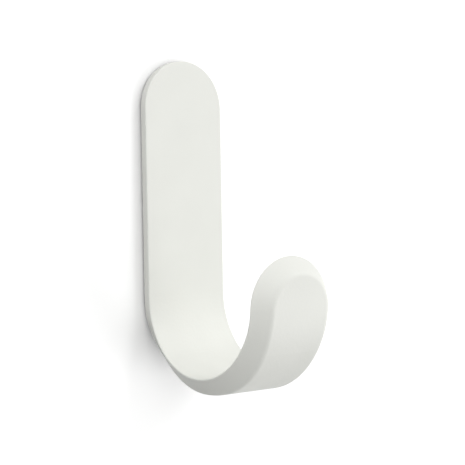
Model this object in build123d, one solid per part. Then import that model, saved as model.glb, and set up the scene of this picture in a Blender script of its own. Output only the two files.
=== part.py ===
"""Single wall hook, cast in one piece: a flat round-topped back plate that sweeps into a J and ends in a round tip.

The front of the strip keeps its full width all the way along. The underside starts flat on the wall and then grows
narrower than the front, so that the side walls lean inwards round the bend and the tip, under a softened edge.
X runs across the hook, Y points into the wall and Z points up. The wall is the plane Y = 0.
The origin is the centre of the flat back.
"""
from build123d import *
import math
import os

# Driving sizes in millimetres, angles in degrees
width = 30.0
plate_thickness = 2.8
back_length = 78.4
straight_face = 74.1
front_bends = [(23.4, 84.2), (25.8, 70.4), (19.8, 22.6)]
under_bends = [(24.6, 88.5), (43.0, 14.0), (28.5, 46.0), (32.7, 26.0)]

# The lean of the side walls, as the step inwards for each millimetre of depth, the turn of the first bend by which
# it is fully grown, and the number of equal steps in which it grows
full_lean = 0.85
lean_grown_at = 48.0
bend_sections = 6

# Edge roundings
front_round = 0.35
back_round = 0.6
soft_round = 1.8

# Shallow pocket in the back for the adhesive pad: its margin to the plate's edge, and to where the bend starts
pad_margin = 3.5
pad_foot_margin = 1.5
pad_pocket_depth = 0.8

# Stock beyond the underside and the tip, trimmed off by the true surfaces
stock_depth = 9.0
clear_length = 12.0

half_width = width / 2
top_z = back_length / 2
bend_start_z = top_z - straight_face
lean_share = lean_grown_at / front_bends[0][1]
on_surface = 0.01
across = (1, 0, 0)


def tangent_bends(start, bends):
    """Arcs in the YZ plane that leave start straight down and turn away from the wall, each tangent to the last."""
    point = Vector(start)
    direction = Vector(0, -1)
    arcs = []
    for radius, turn in bends:
        arc = JernArc(point, direction, radius, -turn)
        arcs.append(arc)
        point = arc @ 1
        direction = arc % 1
    return arcs


def station(edge, share):
    """Plane square to the front face at a share of one of its arcs: x across the hook, y into the material."""
    point = edge @ share
    direction = edge % share
    return Plane(origin=(0, point.X, point.Y), x_dir=across, z_dir=(0, -direction.X, -direction.Y))


def side_slab(edges):
    """Slab wider than the hook whose outline in the YZ plane is the closed run of edges."""
    return extrude(Plane.YZ * make_face(edges), width, both=True)


def round_corner(centre, radius, first_angle, last_angle):
    """Start, middle and end of an arc about centre, with its angles in radians."""
    angles = (first_angle, (first_angle + last_angle) / 2, last_angle)
    return [(centre[0] + radius * math.cos(angle), centre[1] + radius * math.sin(angle)) for angle in angles]


def strip_outline(depth, lean, under_radius):
    """Cross-section of the strip: full width over its rounded front edges, with walls that lean in underneath."""
    wall_angle = math.atan(lean)
    front_centre = (half_width - front_round, front_round)
    front = round_corner(front_centre, front_round, -math.pi / 2, wall_angle)
    under_y = depth - under_radius
    step_in = (front_round - under_radius) * math.hypot(1, lean) - lean * (under_y - front_round)
    under = round_corner((front_centre[0] + step_in, under_y), under_radius, wall_angle, math.pi / 2)
    right = front + under
    left = [(-x, y) for x, y in right]
    edges = [
        Line(left[0], right[0]),
        ThreePointArc(*right[0:3]),
        Line(right[2], right[3]),
        ThreePointArc(*right[3:6]),
        Line(right[5], left[5]),
        ThreePointArc(*reversed(left[3:6])),
        Line(left[3], left[2]),
        ThreePointArc(*reversed(left[0:3])),
    ]
    return make_face(edges)


front_arcs = tangent_bends((-plate_thickness, bend_start_z), front_bends)
under_arcs = tangent_bends((0, -top_z), under_bends)

# The underside as one run: down the wall, round the bend and on past the tip
wall_top = Vector(0, top_z)
under_foot = under_arcs[-1] @ 1
under_end = under_foot + (under_arcs[-1] % 1) * (half_width + clear_length)
under_run = [Line(wall_top, under_arcs[0] @ 0), *under_arcs, Line(under_foot, under_end)]
above_underside = side_slab([*under_run, Line(under_end, wall_top)])


def back_plate():
    """Flat plate with a fully round top, down to where the front face starts to bend."""
    lower = Rectangle(width, top_z - half_width - bend_start_z, align=(Align.CENTER, Align.MIN))
    outline = Pos(0, bend_start_z) * lower + Pos(0, top_z - half_width) * Circle(half_width)
    plate = extrude(Plane.XZ * outline, plate_thickness)
    for face, radius in ((0, front_round), (-1, back_round)):
        rim = plate.faces().sort_by(Axis.Y)[face].edges().filter_by(Axis.X, reverse=True)
        plate = fillet(rim, radius)
    return plate


def under_rim(shape):
    """The edges along both sides of every face that lies on the underside."""
    under_curve = Plane.YZ * Wire(under_run)
    edges = ShapeList()
    for face in shape.faces():
        middle = face.position_at(0.5, 0.5)
        if Vertex(0, middle.Y, middle.Z).distance_to(under_curve) < on_surface:
            edges += face.edges().filter_by(Axis.X, reverse=True)
    return edges


def arm_and_tip():
    """The bend past the point where the walls lean fully, and the tip, closed by half a cone of the same lean."""
    stock = strip_outline(stock_depth, full_lean, soft_round)
    arm = Part()
    for arc in [front_arcs[0].trim(lean_share, 1), *front_arcs[1:]]:
        centre = arc.arc_center
        turn = math.degrees(arc.length / arc.radius)
        arm += revolve(station(arc, 0) * stock, Axis((0, centre.X, centre.Y), (-1, 0, 0)), turn)
    cap_plane = station(front_arcs[-1], 1)
    right_half = stock & Pos(width, 0) * Rectangle(width * 2, width * 2)
    arm += revolve(cap_plane * right_half, Axis(cap_plane.origin, cap_plane.y_dir), 180)
    arm &= above_underside
    return fillet(under_rim(arm), soft_round)


def under_depth(place):
    """Thickness of the strip, square to the front face, at a station plane."""
    probe = Line(place.origin, place.origin + place.y_dir * clear_length)
    crossings = [point for edge in under_run for point in (Plane.YZ * edge).find_intersection_points(probe)]
    return min((point - place.origin).length for point in crossings)


def bend(plate, arm):
    """The stretch between plate and arm, where the walls come to lean and the underside edges soften."""
    sections = [plate.faces().sort_by(Axis.Z)[0]]
    for step in range(1, bend_sections):
        share = step / bend_sections
        place = station(front_arcs[0], share * lean_share)
        grown = share * share * (3 - 2 * share)
        under_radius = back_round + (soft_round - back_round) * grown
        sections.append(place * strip_outline(under_depth(place), full_lean * grown, under_radius))
    sections.append(arm.faces().filter_by(station(front_arcs[0], lean_share))[0])
    return loft(sections)


def pad_pocket():
    """Shallow round-ended pocket in the back for an adhesive pad, so that the rim round it meets the wall."""
    head = top_z - pad_margin
    foot = bend_start_z + pad_foot_margin
    outline = Pos(0, (head + foot) / 2) * SlotOverall(head - foot, width - 2 * pad_margin, rotation=90)
    return extrude(Plane.XZ * outline, pad_pocket_depth)


plate = back_plate()
arm = arm_and_tip()
hook = plate + bend(plate, arm) + arm - pad_pocket()

os.makedirs("parts", exist_ok=True)
hook.label = "hook_body"
export_step(hook, "parts/hook_body.step")
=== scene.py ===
"""Looks of a one-piece wall hook in off-white powder-coated metal, shown on the wall it hangs on."""
import math

import bpy
from mathutils import Matrix, Vector

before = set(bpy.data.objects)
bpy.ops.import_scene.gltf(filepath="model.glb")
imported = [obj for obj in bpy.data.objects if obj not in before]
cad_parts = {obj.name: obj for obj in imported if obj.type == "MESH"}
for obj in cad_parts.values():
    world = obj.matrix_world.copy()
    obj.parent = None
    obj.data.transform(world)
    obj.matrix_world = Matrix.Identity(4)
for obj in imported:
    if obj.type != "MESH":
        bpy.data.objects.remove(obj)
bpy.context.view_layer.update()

# Camera
# A long lens off to the hook's left, a little above its middle and almost level with it. The picture is
# square, 465 pixels wide, and the focal length was fitted in those pixels.
picture_pixels = 465
focal_pixels = 1500.0
sensor_millimetres = 36.0
nearest_seen = 0.01
camera_azimuth = math.radians(-39.38)
camera_elevation = math.radians(2.14)
camera_roll = math.radians(1.01)
camera_place = Vector((-0.29148, -0.38127, 0.00242))

back = Vector((
    math.sin(camera_azimuth) * math.cos(camera_elevation),
    -math.cos(camera_azimuth) * math.cos(camera_elevation),
    math.sin(camera_elevation),
))
level_right = Vector((math.cos(camera_azimuth), math.sin(camera_azimuth), 0))
level_up = back.cross(level_right)
right = math.cos(camera_roll) * level_right - math.sin(camera_roll) * level_up
up = math.sin(camera_roll) * level_right + math.cos(camera_roll) * level_up
camera_data = bpy.data.cameras.new("camera")
camera_data.sensor_width = sensor_millimetres
camera_data.lens = sensor_millimetres * focal_pixels / picture_pixels
camera_data.clip_start = nearest_seen
camera = bpy.data.objects.new("camera", camera_data)
turn = Matrix((right, up, back)).transposed()
camera.matrix_world = Matrix.Translation(camera_place) @ turn.to_4x4()
bpy.context.scene.collection.objects.link(camera)
bpy.context.scene.camera = camera


def linear(hex_colour):
    """Turns an sRGB hex colour into the linear RGBA that a shader's colour socket takes."""
    channels = [int(hex_colour[i:i + 2], 16) / 255 for i in (0, 2, 4)]
    return [c / 12.92 if c <= 0.04045 else ((c + 0.055) / 1.055) ** 2.4 for c in channels] + [1.0]


def add_node(tree, kind, settings=(), links=()):
    """Adds a node. Settings give its properties and input values, and links join sockets to its inputs."""
    node = tree.nodes.new(kind)
    for name, value in dict(settings).items():
        if name in node.inputs:
            node.inputs[name].default_value = value
        else:
            setattr(node, name, value)
    for name, socket in dict(links).items():
        tree.links.new(socket, node.inputs[name])
    return node


# Studio light
# Five soft lamps in front of the wall and two behind it, all aimed at the hook, in a white room. The room is
# white to the camera and in reflections, and gives less light than that. The two behind light the back.
room_light = 0.61
lamp_target = Vector((0, -0.02, -0.01))
lamps = {
    "above": {"place": (-0.5, -0.12, 1.4), "size": 0.5, "watts": 3.4},
    "left": {"place": (-1.2, -0.2, 0.7), "size": 0.5, "watts": 5.2},
    "top_right": {"place": (0.9, -0.8, 1.1), "size": 1.0, "watts": 6.4},
    "right": {"place": (1.6, -0.4, 0.0), "size": 1.0, "watts": 3.1},
    "low_right": {"place": (0.9, -0.9, -0.6), "size": 1.0, "watts": 5.9},
    "back_left": {"place": (-0.8, 1.1, -0.4), "size": 1.0, "watts": 3.0},
    "back_right": {"place": (0.8, 1.1, -0.4), "size": 1.0, "watts": 3.0},
}


def whitened(tree, dim, bright=1.0):
    """Strength that is bright to the camera, in reflections and through glass, and dim as a light."""
    ray = add_node(tree, "ShaderNodeLightPath").outputs
    either = {"operation": "MAXIMUM"}
    indirect = {0: ray["Is Glossy Ray"], 1: ray["Is Transmission Ray"]}
    mirrored = add_node(tree, "ShaderNodeMath", either, indirect)
    seen = add_node(tree, "ShaderNodeMath", either, {0: ray["Is Camera Ray"], 1: mirrored.outputs[0]})
    ends = {"To Min": dim, "To Max": bright}
    return add_node(tree, "ShaderNodeMapRange", ends, {"Value": seen.outputs[0]}).outputs["Result"]


bpy.context.scene.view_settings.view_transform = "Standard"
world = bpy.data.worlds.new("studio")
bpy.context.scene.world = world
world.use_nodes = True
room = world.node_tree
room.nodes.clear()
white_room = {"Color": linear("ffffff")}
glow = add_node(room, "ShaderNodeBackground", white_room, {"Strength": whitened(room, room_light)})
add_node(room, "ShaderNodeOutputWorld", links={"Surface": glow.outputs[0]})

for name, lamp in lamps.items():
    lamp_data = bpy.data.lights.new(name + "_lamp", "AREA")
    lamp_data.shape = "DISK"
    lamp_data.size = lamp["size"]
    lamp_data.energy = lamp["watts"]
    lamp_object = bpy.data.objects.new(name + "_lamp", lamp_data)
    lamp_object.location = lamp["place"]
    lamp_object.rotation_mode = "QUATERNION"
    lamp_object.rotation_quaternion = (lamp_target - lamp_object.location).to_track_quat("-Z", "Y")
    bpy.context.scene.collection.objects.link(lamp_object)

# Wall and floor
# A plain white wall just behind the hook, and a plain white floor well below it. Each shows from its front
# only, so that the hook's back shows from behind the wall. The camera sees them a little whiter than the
# lamps make them, and they give the hook little light back, so that its underside stays in shade.
wall_gap = 0.0006
floor_drop = 1.0
plane_size = 1.2
seen_white = 1.25
light_given_back = 0.2
planes = {
    "wall": {"place": (0, wall_gap, 0), "tilt": (math.pi / 2, 0, 0)},
    "floor": {"place": (0, 0, -floor_drop), "tilt": (0, 0, 0)},
}

for name, stand in planes.items():
    bpy.ops.object.select_all(action="DESELECT")
    bpy.ops.mesh.primitive_plane_add(size=plane_size, location=stand["place"], rotation=stand["tilt"])
    plane = bpy.context.object
    plane.name = name
    paint = bpy.data.materials.new(name + "_emulsion_paint")
    paint.use_nodes = True
    tree = paint.node_tree
    tree.nodes.clear()
    white = whitened(tree, light_given_back, seen_white)
    matt = add_node(tree, "ShaderNodeBsdfDiffuse", links={"Color": white})
    clear = add_node(tree, "ShaderNodeBsdfTransparent")
    behind = add_node(tree, "ShaderNodeNewGeometry").outputs["Backfacing"]
    past_it = add_node(tree, "ShaderNodeLightPath").outputs["Transparent Depth"]
    hidden = add_node(tree, "ShaderNodeMath", {"operation": "MAXIMUM"}, {0: behind, 1: past_it}).outputs[0]
    mix = add_node(tree, "ShaderNodeMixShader", links={0: hidden, 1: matt.outputs[0], 2: clear.outputs[0]})
    add_node(tree, "ShaderNodeOutputMaterial", links={"Surface": mix.outputs[0]})
    plane.data.materials.append(paint)

# Hook body
# One zinc casting, ground smooth and powder coated in a satin off-white. The powder flows out as it is baked,
# which leaves a faint orange peel. Where it lies thicker, the coat is a touch whiter and glossier.
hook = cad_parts["hook_body"]
thin_colour = "eaebe5"
thick_colour = "ecede7"
thin_roughness = 0.51
thick_roughness = 0.49
coat_ior = 1.5
flow_millimetres = 12.0
peel_millimetres = 0.9
peel_depth = 0.00005
peel_strength = 0.6
usual_noise = {"From Min": 0.3, "From Max": 0.7}

coat = bpy.data.materials.new("powder_coated_cast_zinc")
coat.use_nodes = True
tree = coat.node_tree
tree.nodes.clear()
place = add_node(tree, "ShaderNodeTexCoord").outputs["Object"]
broad = {"Scale": 1000 / flow_millimetres, "Detail": 1.0}
flow = add_node(tree, "ShaderNodeTexNoise", broad, {"Vector": place}).outputs["Fac"]
thickness = add_node(tree, "ShaderNodeMapRange", usual_noise, {"Value": flow}).outputs["Result"]
colour = add_node(tree, "ShaderNodeValToRGB", links={"Fac": thickness})
colour.color_ramp.elements[0].color = linear(thin_colour)
colour.color_ramp.elements[1].color = linear(thick_colour)
gloss_ends = {"To Min": thin_roughness, "To Max": thick_roughness}
gloss = add_node(tree, "ShaderNodeMapRange", gloss_ends, {"Value": thickness})
fine = {"Scale": 1000 / peel_millimetres, "Detail": 2.0}
peel = add_node(tree, "ShaderNodeTexNoise", fine, {"Vector": place})
bump = {"Strength": peel_strength, "Distance": peel_depth}
relief = add_node(tree, "ShaderNodeBump", bump, {"Height": peel.outputs["Fac"]})
surface = add_node(
    tree,
    "ShaderNodeBsdfPrincipled",
    {"IOR": coat_ior},
    {
        "Base Color": colour.outputs["Color"],
        "Roughness": gloss.outputs["Result"],
        "Normal": relief.outputs["Normal"],
    },
)
add_node(tree, "ShaderNodeOutputMaterial", links={"Surface": surface.outputs[0]})
hook.data.materials.clear()
hook.data.materials.append(coat)
